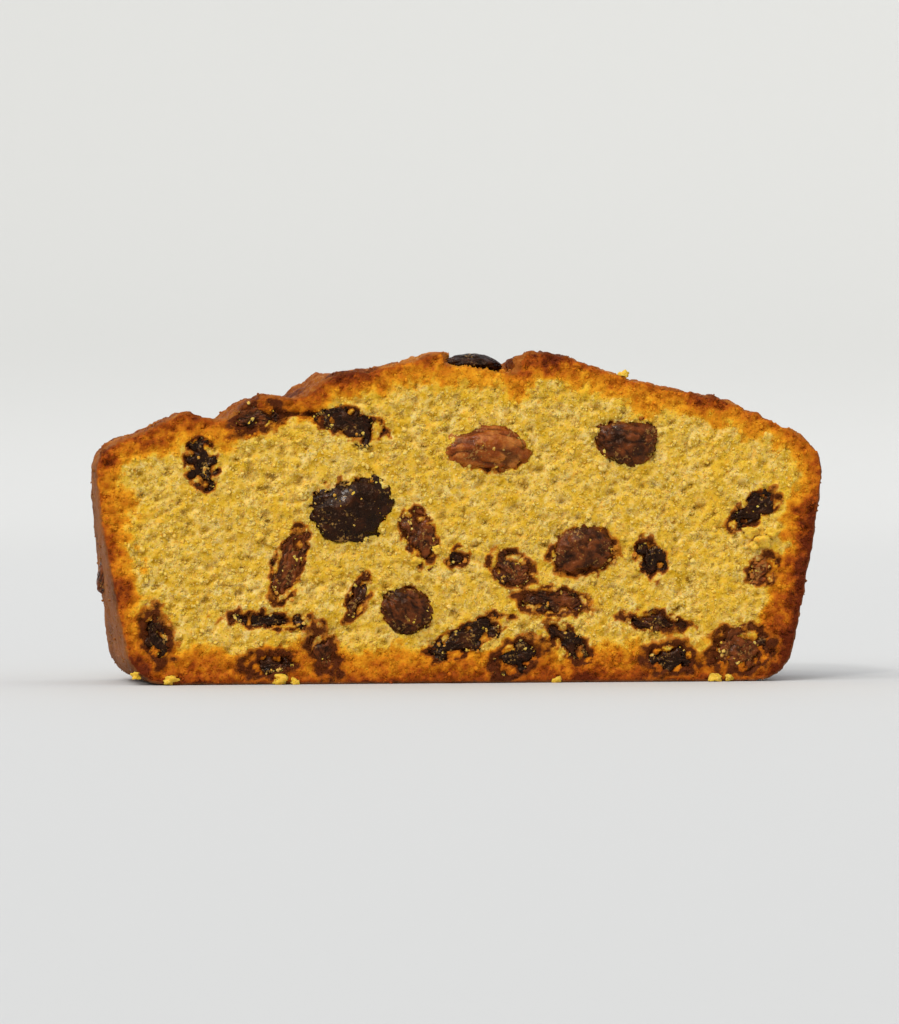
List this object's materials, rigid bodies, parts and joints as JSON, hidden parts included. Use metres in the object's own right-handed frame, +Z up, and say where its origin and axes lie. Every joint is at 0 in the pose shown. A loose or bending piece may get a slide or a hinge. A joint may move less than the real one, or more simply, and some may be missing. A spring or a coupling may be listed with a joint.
{
  "type": "fruit cake slice",
  "caption": "Slice of a raisin loaf cake standing on its base crust: cut flat on both faces, with browned crust round the edge, a burst top and dried fruit throughout.",
  "frame": {"origin": "centre of the box round the slice, on the flat underside of the base crust", "axes": "+X across the loaf, along the slice's longest side; +Y along the loaf, from the front cut face to the back one; +Z up, from the base crust to the burst top"},
  "size_m": [0.1128, 0.0282, 0.0505],
  "materials": {
    "crumb": "matte open crumb inside a browned crust",
    "raisin": "dark wrinkled skin with a soft sheen",
    "sultana": "amber-brown sticky flesh with a soft sheen"
  },
  "bodies": {
    "root": {"cake": "crumb", "raisin_upper_left": "raisin", "raisin_under_flap": "raisin", "sultana_top_middle": "sultana", "raisin_round": "raisin", "raisin_large": "raisin", "raisin_upright": "raisin", "raisin_middle": "raisin", "raisin_middle_scrap": "raisin", "raisin_pair_upper": "raisin", "raisin_pair_left": "raisin", "raisin_pair_lower": "raisin", "raisin_right_middle": "raisin", "raisin_right": "raisin", "raisin_flat_left": "raisin", "raisin_small_round": "raisin", "raisin_thin_diagonal": "raisin", "raisin_long_diagonal": "raisin", "raisin_lower_middle": "raisin", "raisin_flat_right": "raisin", "raisin_left_corner": "raisin", "raisin_base_dark": "raisin", "raisin_right_corner": "raisin", "raisin_base_left": "raisin", "raisin_base_notch": "raisin", "raisin_base_right": "raisin", "sultana_right_edge": "sultana", "raisin_top_crust": "raisin", "raisin_back_high_left": "raisin", "raisin_back_high_middle": "raisin", "sultana_back_high_right": "sultana", "raisin_back_edge_right": "raisin", "raisin_back_edge_left": "raisin", "raisin_back_large": "raisin", "raisin_back_middle_left": "raisin", "raisin_back_middle_right": "raisin", "raisin_back_low_left": "raisin", "raisin_back_low_middle": "raisin", "raisin_back_thin": "raisin", "raisin_back_low_right": "raisin", "raisin_back_base_left": "raisin", "raisin_back_base_right": "raisin", "raisin_in_crack": "raisin", "raisin_on_top_right": "raisin", "raisin_in_left_side": "raisin", "raisin_in_right_side": "raisin"}
  },
  "joints": []
}
